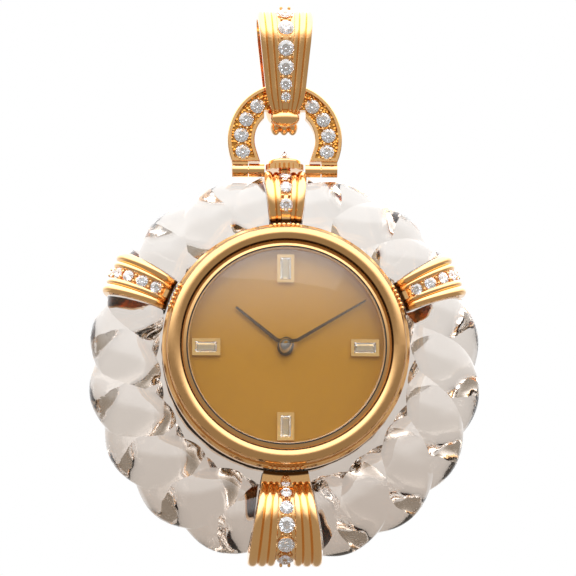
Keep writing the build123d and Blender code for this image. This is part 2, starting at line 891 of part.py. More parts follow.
def baguette(length, width, place, angle):
    """A rectangular step-cut stone: a bevelled crown over a bevelled pavilion."""
    levels = [(marker_height * height, share) for height, share in baguette_shares]
    slabs = []
    for (low, small), (high, large) in zip(levels, levels[1:]):
        rims = []
        for height, share in ((low, small), (high, large)):
            drawn_in = width * (1 - share)
            plane = Plane(place + front * (dial_front + marker_floor + fit + height), x_dir=radial(angle), z_dir=front)
            rims.append((plane.location * Face.make_rect(length - drawn_in, width - drawn_in)).outer_wire())
        slabs.append(Solid.make_loft(rims, True))
    return fused(slabs)


def marker_diamonds():
    length = marker_length - 2 * marker_wall - 2 * stone_gap
    width = marker_width - 2 * marker_wall - 2 * stone_gap
    return Compound([baguette(length, width, place, angle) for place, angle in marker_places()])


def hand(length, width, angle, depth, hub, bore):
    """A slim tapering hand with a round hub, its front face at a depth in front of the stem."""
    along, across = radial(angle), tangent(angle)
    corners = [
        across * (-width / 2),
        along * length - across * (width * hand_tip_share / 2),
        along * length + across * (width * hand_tip_share / 2),
        across * (width / 2),
    ]
    low = front * (depth - hand_thickness)
    blade = Solid.extrude(Face(Wire.make_polygon([low + c for c in corners])), front * hand_thickness)
    return blade.fuse(tube(hub, 0, -depth + hand_thickness, -depth)).cut(
        tube(bore, 0, -depth - overrun, -depth + hand_thickness + overrun)
    )


# Movement


def gear_outline(teeth, module, phase):
    """Corners of a wheel with plain tapering teeth, one tooth centred on the phase angle."""
    pitch = teeth * module / 2
    tip = pitch + addendum_share * module
    root = pitch - dedendum_share * module
    step = 2 * pi / teeth
    points = []
    for k in range(teeth):
        middle = radians(phase) + k * step
        foot = tooth_foot_share * step
        head = tooth_head_share * step
        for angle, radius in ((-foot, root), (-head, tip), (head, tip), (foot, root)):
            points.append((radius * cos(middle + angle), radius * sin(middle + angle)))
    return points


def gear(teeth, module, start, end, place=(0, 0), phase=0, bore=0):
    """A toothed wheel about a depth axis at a place, between two depths."""
    low, high = min(start, end), max(start, end)
    x0, z0 = place
    points = [Vector(x0 + x, low, z0 + z) for x, z in gear_outline(teeth, module, phase)]
    body = Solid.extrude(Face(Wire.make_polygon(points)), Vector(0, high - low, 0))
    return body.cut(tube(bore, 0, low - overrun, high + overrun, x0, z0)) if bore else body


def mesh_phase(teeth, phase, other_teeth, towards):
    """The phase that puts a gap of one wheel where the other wheel's tooth reaches in.

    The first wheel lies at an angle from the second, whose own phase is known."""
    pitch, other_pitch = 360 / teeth, 360 / other_teeth
    # where the second wheel's nearest tooth stands, as a share of its pitch from the line of centres
    share = ((towards - phase) / other_pitch) % 1
    return towards + 180 + pitch / 2 - share * pitch


def offset_place(place, angle, distance):
    return (place[0] + distance * cos(radians(angle)), place[1] + distance * sin(radians(angle)))


def centre_gap(teeth, other, module):
    return (teeth + other) * module / 2


middle = (0, 0)
barrel_place = offset_place(middle, barrel_angle, centre_gap(barrel_teeth, pinion_leaves, barrel_module))
third_place = offset_place(middle, third_angle, centre_gap(centre_wheel_teeth, pinion_leaves, centre_module))
fourth_place = offset_place(third_place, fourth_angle, centre_gap(third_wheel_teeth, pinion_leaves, third_module))
escape_place = offset_place(
    fourth_place, escape_angle, centre_gap(fourth_wheel_teeth, escape_pinion_leaves, fourth_module)
)
balance_place = offset_place(middle, balance_angle, movement_radius - balance_radius - balance_margin)
fork_angle = degrees(atan2(balance_place[1] - escape_place[1], balance_place[0] - escape_place[0]))
fork_place = offset_place(escape_place, fork_angle, fork_distance)
minute_wheel_place = offset_place(
    middle, minute_wheel_angle, centre_gap(cannon_leaves, minute_wheel_teeth, motion_module)
)
minute_pinion_module = motion_module * (cannon_leaves + minute_wheel_teeth) / (minute_pinion_leaves + hour_wheel_teeth)
crown_wheel_place = offset_place(
    barrel_place, crown_wheel_angle, centre_gap(ratchet_teeth, crown_wheel_teeth, winding_module)
)
winding_pinion_height = crown_wheel_place[1] + sqrt(
    (crown_wheel_teeth * winding_module / 2) ** 2 - crown_wheel_place[0] ** 2
)

# Depths of the train between the plate and the bridges, counted back from the stem's axis
barrel_teeth_span = (0.42, 0.17)
barrel_drum_span = (0.17, -0.4)
centre_pinion_span = (0.45, -0.45)
centre_wheel_span = (-0.52, -0.52 - wheel_thickness)
third_wheel_span = (0.4, 0.4 - wheel_thickness)
third_pinion_span = (-0.42, -0.82)
fourth_wheel_span = (-0.2, -0.2 - wheel_thickness)
fourth_pinion_span = (0.45, 0.12)
escape_wheel_span = (0.4, 0.4 - wheel_thickness)
escape_pinion_span = (-0.12, -0.5)
balance_span = (-0.42, -0.62)
hairspring_span = (-0.7, -0.7 - hairspring_thickness)
minute_wheel_span = (1.2, 1.05)
minute_pinion_span = (1.45, 1.2)
hour_wheel_span = (1.45, 1.28)


def layer(span):
    """A pair of depths as they lie along the depth axis, front negative."""
    return -span[0], -span[1]


def staff(place):
    """A wheel's staff with a fine pivot at each end."""
    x, z = place
    body = tube(staff_radius, 0, plate_back + running_fit, -bridge_front - running_fit, x, z)
    return body.fuse(tube(pivot_radius, 0, plate_back - 2 * running_fit, -bridge_back - 2 * running_fit, x, z))


def wheel_and_pinion(place, wheel, wheel_module, wheel_span, leaves, pinion_module, pinion_span, phases):
    wheel_phase, pinion_phase = phases
    return fused(
        [
            gear(wheel, wheel_module, *layer(wheel_span), place, wheel_phase),
            gear(leaves, pinion_module, *layer(pinion_span), place, pinion_phase),
            staff(place),
        ]
    )


# Tooth phases, worked out along the train so that every pair is in mesh
centre_pinion_phase = 0
centre_wheel_phase = 0
barrel_phase = mesh_phase(barrel_teeth, centre_pinion_phase, pinion_leaves, barrel_angle)
third_pinion_phase = mesh_phase(pinion_leaves, centre_wheel_phase, centre_wheel_teeth, third_angle)
third_wheel_phase = 0
fourth_pinion_phase = mesh_phase(pinion_leaves, third_wheel_phase, third_wheel_teeth, fourth_angle)
fourth_wheel_phase = 0
escape_pinion_phase = mesh_phase(escape_pinion_leaves, fourth_wheel_phase, fourth_wheel_teeth, escape_angle)
cannon_phase = 0
minute_wheel_phase = mesh_phase(minute_wheel_teeth, cannon_phase, cannon_leaves, minute_wheel_angle)
minute_pinion_phase = 0
hour_wheel_phase = mesh_phase(
    hour_wheel_teeth, minute_pinion_phase, minute_pinion_leaves, minute_wheel_angle + 180
)
ratchet_phase = 0
crown_wheel_phase = mesh_phase(crown_wheel_teeth, ratchet_phase, ratchet_teeth, crown_wheel_angle)


def barrel():
    x, z = barrel_place
    toothed = gear(barrel_teeth, barrel_module, *layer(barrel_teeth_span), barrel_place, barrel_phase)
    drum = tube(barrel_drum_radius, 0, *layer(barrel_drum_span), x, z)
    hollow = tube(
        barrel_drum_radius - barrel_wall,
        0,
        -barrel_teeth_span[0] + barrel_wall / 2,
        -barrel_drum_span[1] - barrel_wall / 2,
        x,
        z,
    )
    return toothed.fuse(drum).cut(
        hollow, tube(staff_radius + running_fit + fit, 0, plate_back - overrun, overrun - bridge_front, x, z)
    )


def mainspring():
    x, z = barrel_place
    return tube(
        barrel_drum_radius - barrel_wall - running_fit,
        barrel_arbor_radius + running_fit,
        -barrel_teeth_span[0] + barrel_wall / 2 + running_fit,
        -barrel_drum_span[1] - barrel_wall / 2 - running_fit,
        x,
        z,
    )


def ratchet_wheel():
    """The ratchet wheel with the barrel arbor, which carries the mainspring's inner end."""
    x, z = barrel_place
    low = -winding_wheel_front
    wheel = gear(ratchet_teeth, winding_module, low, low + winding_wheel_thickness, barrel_place, ratchet_phase)
    arbor = tube(staff_radius, 0, plate_back + running_fit, low + winding_wheel_thickness, x, z)
    core = tube(
        barrel_arbor_radius,
        0,
        -barrel_teeth_span[0] + barrel_wall / 2 + running_fit,
        -barrel_drum_span[1] - barrel_wall / 2 - running_fit,
        x,
        z,
    )
    return fused([wheel, arbor, core])


def crown_wheel():
    low = -winding_wheel_front
    x, z = crown_wheel_place
    wheel = gear(
        crown_wheel_teeth,
        winding_module,
        low,
        low + winding_wheel_thickness,
        crown_wheel_place,
        crown_wheel_phase,
        screw_radius + running_fit,
    )
    return wheel


def click_shape(grow, low, high):
    """The pawl beside the ratchet wheel: a round seat and a nose that hugs the teeth."""
    reach = ratchet_teeth * winding_module / 2 + winding_module + running_fit
    angle = barrel_angle + click_angle
    nose_angle = click_nose_angle + degrees(grow / reach)
    inner, outer = [], []
    for k in range(click_steps + 1):
        turn = angle + nose_angle * k / click_steps
        inner.append(offset_place(barrel_place, turn, reach - grow))
        outer.append(offset_place(barrel_place, turn, reach + grow + click_width * (1 - k / click_steps) + fit))
    corners = [Vector(x, 0, z) for x, z in inner + outer[::-1]]
    nose = extruded(Face(Wire.make_polygon(corners)), low, high)
    seat = offset_place(barrel_place, angle, reach + screw_radius)
    return nose.fuse(tube(screw_radius - running_fit + grow, 0, low, high, *seat))


def click():
    low = -winding_wheel_front
    return click_shape(0, low, low + winding_wheel_thickness)


def centre_wheel():
    wheel = wheel_and_pinion(
        middle,
        centre_wheel_teeth,
        centre_module,
        centre_wheel_span,
        pinion_leaves,
        barrel_module,
        centre_pinion_span,
        (centre_wheel_phase, centre_pinion_phase),
    )
    return wheel.fuse(tube(arbor_radius, 0, -minute_hand_front + 2 * hand_thickness, 0))


def third_wheel():
    return wheel_and_pinion(
        third_place,
        third_wheel_teeth,
        third_module,
        third_wheel_span,
        pinion_leaves,
        centre_module,
        third_pinion_span,
        (third_wheel_phase, third_pinion_phase),
    )


def fourth_wheel():
    return wheel_and_pinion(
        fourth_place,
        fourth_wheel_teeth,
        fourth_module,
        fourth_wheel_span,
        pinion_leaves,
        third_module,
        fourth_pinion_span,
        (fourth_wheel_phase, fourth_pinion_phase),
    )


def escape_wheel():
    """Fifteen raked teeth on a rim, with the pinion that the fourth wheel drives."""
    x0, z0 = escape_place
    low, high = layer(escape_wheel_span)
    points = []
    step = 2 * pi / escape_teeth
    for k in range(escape_teeth):
        for share, reach in escape_tooth_shares:
            angle = (k + share) * step
            points.append(Vector(x0 + escape_radius * reach * cos(angle), low, z0 + escape_radius * reach * sin(angle)))
    wheel = Solid.extrude(Face(Wire.make_polygon(points)), Vector(0, high - low, 0))
    pinion = gear(
        escape_pinion_leaves, fourth_module, *layer(escape_pinion_span), escape_place, escape_pinion_phase
    )
    return fused([wheel, pinion, staff(escape_place)])


def pallet_fork():
    """The fork between the escape wheel and the balance, standing at the middle of its swing."""
    low, high = layer(escape_wheel_span)
    clear = escape_radius + running_fit
    arm_width = 2 * staff_radius

    def bar(start, end, width):
        a, b = Vector(start[0], low, start[1]), Vector(end[0], low, end[1])
        along = (b - a).normalized()
        across = along.cross(Vector(0, 1, 0)) * (width / 2)
        corners = [a - across, b - across, b + across, a + across]
        return Solid.extrude(Face(Wire.make_polygon(corners)), Vector(0, high - low, 0))

    cock_low, cock_high = layer(pallet_cock_span)
    pieces = [
        tube(staff_radius, 0, plate_back + running_fit, cock_low - running_fit, *fork_place),
        tube(pivot_radius, 0, plate_back - 2 * running_fit, cock_high - running_fit, *fork_place),
    ]
    for way in (-1, 1):
        tip = offset_place(escape_place, fork_angle + way * pallet_spread_angle, clear + arm_width)
        pieces.append(bar(fork_place, tip, arm_width))
        pieces.append(tube(arm_width * pallet_pad_share, 0, low, high, *tip))
    pieces.append(bar(fork_place, offset_place(fork_place, fork_angle, fork_distance * fork_reach_share), arm_width))
    return fused(pieces)


def pallet_cock():
    """The low bridge that holds the fork's upper pivot under the balance."""
    low, high = layer(pallet_cock_span)
    half = pallet_cock_width / 2
    post = offset_place(fork_place, pallet_post_angle, pallet_post_distance)
    plane = Plane((fork_place[0], low, fork_place[1]), x_dir=radial(pallet_post_angle), z_dir=-front)
    arm = plane.location * Pos(pallet_post_distance / 2, 0, 0) * Face.make_rect(pallet_post_distance, 2 * half)
    pieces = [
        Solid.extrude(arm, -front * (high - low)),
        tube(half, 0, low, high, *fork_place),
        tube(half, 0, plate_back, high, *post),
    ]
    return fused(pieces).cut(tube(pivot_radius + running_fit, 0, low - overrun, high + overrun, *fork_place))


def balance_wheel():
    x, z = balance_place
    low, high = layer(balance_span)
    rim = tube(balance_radius, balance_radius - balance_rim, low, high, x, z)
    arm_box = Solid.make_box(
        2 * balance_radius - balance_rim,
        high - low,
        balance_rim,
        Plane((x - balance_radius + balance_rim / 2, low, z - balance_rim / 2)),
    )
    return fused([rim, arm_box, staff(balance_place), tube(balance_rim, 0, low, high, x, z)])


def hairspring():
    x, z = balance_place
    return tube(hairspring_radius, hairspring_radius - hairspring_width, *layer(hairspring_span), x, z)


def cannon_pinion():
    """The pipe that carries the minute hand, gripping the centre arbor by friction."""
    pinion = gear(cannon_leaves, motion_module, *layer(minute_wheel_span), middle, cannon_phase)
    pipe = tube(cannon_radius, 0, -minute_hand_front + hand_thickness / 2, -minute_wheel_span[1])
    return pinion.fuse(pipe).cut(tube(arbor_radius + fit, 0, -minute_hand_front - overrun, overrun))


def minute_wheel():
    x, z = minute_wheel_place
    wheel = gear(minute_wheel_teeth, motion_module, *layer(minute_wheel_span), minute_wheel_place, minute_wheel_phase)
    pinion = gear(
        minute_pinion_leaves, minute_pinion_module, *layer(minute_pinion_span), minute_wheel_place, minute_pinion_phase
    )
    return wheel.fuse(pinion).cut(tube(staff_radius + running_fit, 0, -plate_front - overrun, overrun, x, z))


def hour_wheel():
    wheel = gear(hour_wheel_teeth, minute_pinion_module, *layer(hour_wheel_span), middle, hour_wheel_phase)
    pipe = tube(hour_pipe_radius, 0, -hour_hand_front, -hour_wheel_span[1])
    return wheel.fuse(pipe).cut(tube(cannon_radius + running_fit, 0, -minute_hand_front - overrun, overrun))


def main_plate():
    body = turned(
        [
            (0, -plate_front),
            (movement_radius, -plate_front),
            (movement_radius, -bridge_front),
            (movement_radius - plate_rim_width, -bridge_front),
            (movement_radius - plate_rim_width, plate_back),
            (0, plate_back),
        ]
    )
    reach = (minute_wheel_teeth / 2 + 2) * motion_module + running_fit
    hour_reach = (hour_wheel_teeth / 2 + 2) * minute_pinion_module + running_fit
    recess = -plate_front + motion_recess_depth
    cuts = [
        tube(reach, 0, -plate_front - overrun, recess, *minute_wheel_place),
        tube(hour_reach, 0, -plate_front - overrun, recess),
        tube(arbor_radius + running_fit, 0, -plate_front - overrun, overrun),
        rod(stem_radius + running_fit, stem_bottom - running_fit, movement_radius + overrun),
    ]
    pinion_room = rod(
        winding_pinion_radius + running_fit,
        winding_pinion_height - winding_pinion_length / 2 - 2 * running_fit,
        winding_pinion_height + winding_pinion_length / 2 + 2 * running_fit,
    )
    cuts.append(pinion_room)
    for place in (third_place, fourth_place, escape_place, fork_place, balance_place, barrel_place):
        hole = pivot_radius if place != barrel_place else staff_radius
        cuts.append(tube(hole + running_fit, 0, plate_back - 3 * running_fit, overrun, *place))
    post = tube(staff_radius, 0, -plate_front + running_fit, recess + fit, *minute_wheel_place)
    return body.cut(*cuts).fuse(post)


def bridge(start, end, pivots, keep_middle=False):
    """A slice of the round bridge layer between two angles, with a hole for each jewel or arbor."""
    disc = tube(movement_radius, 0, -bridge_front, -bridge_back)
    hub = 4 * jewel_radius
    piece = disc.intersect(wedge(start, end, movement_radius)).solids()[0]
    if keep_middle:
        piece = piece.fuse(tube(hub - running_fit, 0, -bridge_front, -bridge_back))
    else:
        piece = piece.cut(tube(hub + running_fit, 0, -bridge_front - overrun, -bridge_back + overrun))
    holes = [tube(jewel_radius + fit, 0, -bridge_front - overrun, -bridge_back + overrun, *p) for p in pivots]
    return piece.cut(*holes)


def barrel_bridge():
    body = bridge(74, 236, [middle], True)
    low = -winding_wheel_front - running_fit
    ratchet_room = (ratchet_teeth / 2 + 2) * winding_module
    crown_room = (crown_wheel_teeth / 2 + 2) * winding_module
    cuts = [
        tube(ratchet_room, 0, low, -bridge_back + overrun, *barrel_place),
        tube(crown_room, 0, low, -bridge_back + overrun, *crown_wheel_place),
        tube(staff_radius + running_fit, 0, -bridge_front - overrun, -bridge_back + overrun, *barrel_place),
        rod(
            winding_pinion_radius + running_fit,
            winding_pinion_height - winding_pinion_length / 2 - 2 * running_fit,
            winding_pinion_height + winding_pinion_length / 2 + 2 * running_fit,
        ),
    ]
    cuts.append(click_shape(running_fit, low, -bridge_back + overrun))
    post = tube(screw_radius, 0, -bridge_front, low + winding_wheel_thickness + running_fit, *crown_wheel_place)
    return body.cut(*cuts).fuse(post)


def train_bridge():
    return bridge(238, 376, [third_place, fourth_place, escape_place])


def balance_cock():
    return bridge(18, 72, [balance_place])


def jewels():
    places = [middle, third_place, fourth_place, escape_place, balance_place]
    low = -bridge_back - jewel_thickness
    made = [tube(jewel_radius, pivot_radius + running_fit / 2, low, -bridge_back, *p) for p in places]
    return Compound(made)


def movement_ring():
    body = turned(
        [
            (ring_inner_radius, -plate_front),
            (case_bore_radius - running_fit, -plate_front),
            (case_bore_radius - running_fit, case_back_depth - case_back_floor - running_fit),
            (ring_inner_radius, case_back_depth - case_back_floor - running_fit),
        ]
    )
    return body.cut(rod(stem_radius + running_fit, 0, ring_radius))


def bridge_screws():
    """Screws near the rim that hold the bridges down, with slotted heads."""
    made = []
    for angle in screw_angles:
        x, z = offset_place(middle, angle, movement_radius - screw_radius - 2 * running_fit)
        top = -bridge_back + screw_height
        head = tube(screw_radius, 0, -bridge_back, top, x, z)
        slot = Solid.make_box(
            2 * screw_radius + overrun,
            screw_height,
            screw_radius / 3,
            Plane((x - screw_radius - overrun / 2, top - screw_height / 2, z - screw_radius / 6)),
        )
        made.append(head.cut(slot))
    return Compound(made)


# Winding stem and crown


def stem_tube():
    return rod(stem_tube_radius, case_bore_radius, crown_base_height - running_fit).cut(
        rod(stem_radius + running_fit, 0, crown_base_height + overrun)
    )


def winding_stem():
    return rod(stem_radius, stem_bottom, crown_base_height + crown_rim_height + crown_cap_height / 2)


def winding_pinion():
    """The toothed pinion on the stem whose crown of teeth turns the crown wheel."""
    points = []
    step = 2 * pi / winding_pinion_teeth
    for k in range(winding_pinion_teeth):
        for share, reach in pinion_tooth_shares:
            angle = (k + share) * step
            radius = winding_pinion_radius * reach
            points.append(Vector(radius * cos(angle), radius * sin(angle), 0))
    body = Solid.extrude(Face(Wire.make_polygon(points)), Vector(0, 0, winding_pinion_length))
    body = Pos(0, 0, winding_pinion_height - winding_pinion_length / 2) * body
    return body.cut(rod(stem_radius + running_fit, 0, ring_radius))


def crown_button():
    """A fluted rim under a rounded cap, on the end of the stem."""
    points = []
    step = 2 * pi / crown_flutes
    for k in range(crown_flutes):
        for share, depth_share in crown_flute_shares:
            radius = crown_rim_radius - crown_flute_depth * depth_share
            angle = (k + share) * step
            points.append(Vector(radius * cos(angle), radius * sin(angle), 0))
    rim = Solid.extrude(Face(Wire.make_polygon(points)), Vector(0, 0, crown_rim_height))
    rim = Pos(0, 0, crown_base_height) * rim
    cap_base = crown_base_height + crown_rim_height
    cap = rod(crown_cap_radius, cap_base, cap_base + crown_cap_height)
    cap = cap.fillet(crown_cap_round, cap.edges().sort_by(Axis.Z)[-1:])
    seat = Solid.make_cone(
        0,
        crown_stone_radius,
        crown_stone_radius / 2,
        Plane((0, 0, cap_base + crown_cap_height - crown_stone_radius / 2)),
    )
    return rim.fuse(cap).cut(
        rod(stem_radius, 0, cap_base + crown_cap_height / 2),
        rod(stem_tube_radius + running_fit, crown_base_height - overrun, crown_base_height + crown_socket_depth),
        seat,
    )


def crown_diamond():
    """A stone set point outward: a faceted cone over a short seat."""
    base = crown_base_height + crown_rim_height + crown_cap_height
    count = 8
    angles = [2 * pi * (k + 0.5) / count for k in range(count)]

    def ring(radius, height):
        return [Vector(radius * cos(a), radius * sin(a), height) for a in angles]

    wide = ring(crown_stone_radius, base + stone_gap)
    low = ring(crown_stone_radius / 2, base - crown_stone_radius / 4 + stone_gap)
    tip = Vector(0, 0, base + crown_stone_height)
    faces = [low[::-1]]
    for k in range(count):
        nxt = (k + 1) % count
        faces += [[low[k], low[nxt], wide[nxt], wide[k]], [wide[k], wide[nxt], tip]]
    return Solid(Shell([Face(Wire.make_polygon(face)) for face in faces]))


# Every piece, by name
save("bail_shell", bail_shell())
save("bail_diamonds", Compound([stone(size, *bail_stone_seat(height)) for height, size in bail_stones]))
save("link_frame", link_frame())
save("link_diamonds", Compound([stone(link_stone_diameter, place, front) for place in link_stone_places()]))
save("hinge_pins", Compound(pins(hinge_pin_radius, pin_start, hinge_end - fit)))
save("crystal_ring", crystal_ring())
save("upper_band", upper_band())
for side in ("right", "left", "lower"):
    save(f"{side}_band", gold_band(bands[side]))
for side in bands:
    save(f"{side}_band_diamonds", band_stones(bands[side]))
save("case_middle", case_middle())
save("bezel", bezel())
save("watch_glass", watch_glass())
edge_low, edge_high = -glass_seat_front, -glass_seat_front - glass_edge
save("glass_gasket", tube(glass_radius + gasket_width, glass_radius + fit, edge_low, edge_high))
save("case_back", case_back())
save("back_gasket", back_gasket())
save("dial", tube(dial_seat_radius - fit, dial_hole_radius, -dial_front, -dial_front + dial_thickness))
save("marker_settings", marker_settings())
save("marker_diamonds", marker_diamonds())
hour_sizes = (hour_hand_length, hour_hand_width, hour_hand_angle, hour_hand_front)
save("hour_hand", hand(*hour_sizes, hub_radius, hour_pipe_radius + fit))
minute_sizes = (minute_hand_length, minute_hand_width, minute_hand_angle, minute_hand_front)
save("minute_hand", hand(*minute_sizes, minute_hub_radius, cannon_radius + fit))
save("movement_ring", movement_ring())
save("main_plate", main_plate())
save("barrel_bridge", barrel_bridge())
save("train_bridge", train_bridge())
save("balance_cock", balance_cock())
save("bridge_screws", bridge_screws())
save("jewels", jewels())
save("barrel", barrel())
save("mainspring", mainspring())
save("ratchet_wheel", ratchet_wheel())
save("crown_wheel", crown_wheel())
save("click", click())
save("centre_wheel", centre_wheel())
save("third_wheel", third_wheel())
save("fourth_wheel", fourth_wheel())
save("escape_wheel", escape_wheel())
save("pallet_fork", pallet_fork())
save("pallet_cock", pallet_cock())
save("balance_wheel", balance_wheel())
save("hairspring", hairspring())
save("cannon_pinion", cannon_pinion())
save("minute_wheel", minute_wheel())
save("hour_wheel", hour_wheel())
save("stem_tube", stem_tube())
save("winding_stem", winding_stem())
save("winding_pinion", winding_pinion())
save("crown_button", crown_button())
save("crown_diamond", crown_diamond())
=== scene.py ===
# %% [markdown]
# A gold pendant watch hangs from its bail. Its case sits in a ring of carved rock crystal, and
# bands of gold and diamonds hold the ring. The movement, the case and the ring come from the
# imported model, so this lesson dresses them and adds the finest goldsmith's work: the raised
# grains that grip each stone, and the beaded rows at the feet of the bands.

# %% The frame
from math import cos, radians, sin

import bpy
from mathutils import Matrix, Vector


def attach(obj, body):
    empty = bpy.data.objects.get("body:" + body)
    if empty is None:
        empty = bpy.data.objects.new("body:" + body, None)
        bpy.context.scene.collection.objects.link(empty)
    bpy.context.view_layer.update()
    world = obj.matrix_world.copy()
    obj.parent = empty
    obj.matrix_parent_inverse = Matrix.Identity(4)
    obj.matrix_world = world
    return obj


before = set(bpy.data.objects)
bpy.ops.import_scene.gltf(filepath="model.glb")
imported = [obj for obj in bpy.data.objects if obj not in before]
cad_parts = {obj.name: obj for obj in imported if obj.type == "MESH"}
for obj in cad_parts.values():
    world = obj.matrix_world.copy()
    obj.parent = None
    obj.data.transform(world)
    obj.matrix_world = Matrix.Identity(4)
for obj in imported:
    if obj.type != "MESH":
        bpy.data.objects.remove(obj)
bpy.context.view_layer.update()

mm = 0.001

# %% [markdown]
# The photograph is taken from a little below and a little to the left, with a long lens, so
# deeper points sit lower and further left. The camera is placed by those two angles and aimed
# so that the watch fills the square frame as it does there.

# %% Camera
camera_turn = radians(3)
camera_dip = radians(8)
camera_distance = 0.7
frame_width = 67.6 * mm
aim = Vector((0.2 * mm, -4 * mm, -30.0 * mm))

back = Vector(
    (-sin(camera_turn) * cos(camera_dip), -cos(camera_turn) * cos(camera_dip), -sin(camera_dip))
)
camera_data = bpy.data.cameras.new("portrait_camera")
camera = bpy.data.objects.new("portrait_camera", camera_data)
bpy.context.collection.objects.link(camera)
camera.location = aim + back * camera_distance
camera.rotation_mode = "QUATERNION"
camera.rotation_quaternion = (-back).to_track_quat("-Z", "Y")
camera_data.lens = camera_data.sensor_width * camera_distance / frame_width
camera_data.clip_start = 0.01
camera_data.clip_end = 20
bpy.context.scene.camera = camera
print("lens", round(camera_data.lens), "mm at", camera_distance, "m")

# %% [markdown]
# Colours are easiest to choose as the hex values of a paint program, but the shaders want
# linear light. One function turns one into the other. Another adds a shader node, sets what it
# is given and links any socket that it is handed, so that a finish reads as a short list.

# %% Colour and node helpers
def paint(hex_colour):
    """The linear colour of an sRGB hex value such as c8963c."""
    channels = [int(hex_colour[i : i + 2], 16) / 255 for i in (0, 2, 4)]
    return [c / 12.92 if c <= 0.04045 else ((c + 0.055) / 1.055) ** 2.4 for c in channels] + [1]


def add(tree, kind, settings=None, **sockets):
    """Add a node, set its settings and its sockets, and link a socket that is given.

    A socket goes by its name, or by its number where several share one, as in input_0.
    """
    node = tree.nodes.new(kind)
    for name, value in (settings or {}).items():
        setattr(node, name, value)
    for name, value in sockets.items():
        if name.startswith("input_"):
            socket = node.inputs[int(name.removeprefix("input_"))]
        else:
            wanted = name.replace("_", " ").lower()
            socket = next(s for s in node.inputs if s.name.lower() == wanted and s.enabled)
        if isinstance(value, bpy.types.NodeSocket):
            tree.links.new(value, socket)
        else:
            socket.default_value = value
    return node


def finish_named(name, **sockets):
    """A new material with one Principled shader, and the constants of the finish on its sockets."""
    material = bpy.data.materials.new(name)
    material.use_nodes = True
    tree = material.node_tree
    tree.nodes.clear()
    shader = add(tree, "ShaderNodeBsdfPrincipled", **sockets)
    output = add(tree, "ShaderNodeOutputMaterial", Surface=shader.outputs["BSDF"])
    return material, tree, shader, output


def dress(material, *nodes):
    """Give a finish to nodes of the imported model."""
    for name in nodes:
        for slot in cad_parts[name].material_slots:
            slot.material = material


def grain_size(size_mm):
    """The Scale of a texture on Object coordinates whose features are this many millimetres."""
    return 1 / (size_mm * mm)

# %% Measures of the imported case
def node_box(name):
    """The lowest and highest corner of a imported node."""
    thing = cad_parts[name]
    corners = [thing.matrix_world @ v.co for v in thing.data.vertices]
    return [Vector(pick(c[axis] for c in corners) for axis in range(3)) for pick in (min, max)]


bezel_low, bezel_high = node_box("bezel")
case_centre = (bezel_low + bezel_high) / 2
print("case centre in mm", [round(v / mm, 2) for v in case_centre])

# %% [markdown]
# The studio is a white sweep. What the gold and the crystal have to reflect on the camera's side
# and beside the watch is darker and warmer, because polished metal and clear stone only show
# their shape when part of their surroundings is dark. One ramp from warm grey to white serves
# the world, by direction, and the pale floor far below, by distance, so that no edge shows in
# the reflections.

# %% World
shade_side = "b0a79b"
shade_back = "ffffff"
ramp_start, ramp_end = 0.4, 0.95
# how far behind the watch a view through it turns white
clear_start, clear_end = -0.05, 0.1
# the silk's height, as the upward part of a direction, and its strength against the sweep's
silk_start, silk_full = 0, 0.6
overhead_light = 2.9
ray_turns = 32


def sweep_ramp(tree, value):
    """Warm grey in front of the watch, white behind it, with a soft change between."""
    ramp = add(tree, "ShaderNodeValToRGB", Fac=value)
    ramp.color_ramp.interpolation = "EASE"
    ramp.color_ramp.elements[0].position = ramp_start
    ramp.color_ramp.elements[0].color = paint(shade_side)
    ramp.color_ramp.elements[1].position = ramp_end
    ramp.color_ramp.elements[1].color = paint(shade_back)
    return ramp.outputs["Color"]


def blend(tree, factor, first, second):
    """A mix of two colours, each a socket or a value."""
    mix = add(
        tree, "ShaderNodeMix", {"data_type": "RGBA"}, Factor=factor, input_6=first, input_7=second
    )
    return mix.outputs[2]


def straight_through(tree, path, depth):
    """1 for what the camera sees itself or through clear stone behind the watch, else 0."""
    behind = add(
        tree, "ShaderNodeMapRange", {"interpolation_type": "SMOOTHSTEP"},
        Value=depth, From_Min=clear_start, From_Max=clear_end,
    )
    through = add(
        tree, "ShaderNodeMath", {"operation": "MULTIPLY"},
        input_0=path.outputs["Is Transmission Ray"], input_1=behind.outputs["Result"],
    )
    either = add(
        tree, "ShaderNodeMath", {"operation": "MAXIMUM"},
        input_0=path.outputs["Is Camera Ray"], input_1=through.outputs[0],
    )
    return either.outputs[0]


world = bpy.data.worlds.new("white_sweep")
bpy.context.scene.world = world
world.use_nodes = True
sky = world.node_tree
sky.nodes.clear()
looking = add(sky, "ShaderNodeTexCoord").outputs["Generated"]
split = add(sky, "ShaderNodeSeparateXYZ", Vector=looking)
path = add(sky, "ShaderNodeLightPath")
# the silk of a wide overhead light, which gets whiter and brighter softly towards its middle
silk = add(
    sky, "ShaderNodeMapRange", {"interpolation_type": "SMOOTHSTEP"},
    Value=split.outputs["Z"], From_Min=silk_start, From_Max=silk_full,
).outputs["Result"]
power = add(sky, "ShaderNodeMapRange", Value=silk, To_Min=1, To_Max=overhead_light).outputs["Result"]
shone = blend(sky, silk, sweep_ramp(sky, split.outputs["Y"]), paint("ffffff"))
mirrored = add(sky, "ShaderNodeBackground", Color=shone, Strength=power)
plain = add(sky, "ShaderNodeBackground", Color=paint("ffffff"), Strength=1)
straight = straight_through(sky, path, split.outputs["Y"])
glow = add(
    sky, "ShaderNodeMixShader", Fac=straight,
    input_1=mirrored.outputs["Background"], input_2=plain.outputs["Background"],
)
add(sky, "ShaderNodeOutputWorld", Surface=glow.outputs["Shader"])
bpy.context.scene.view_settings.view_transform = "Standard"
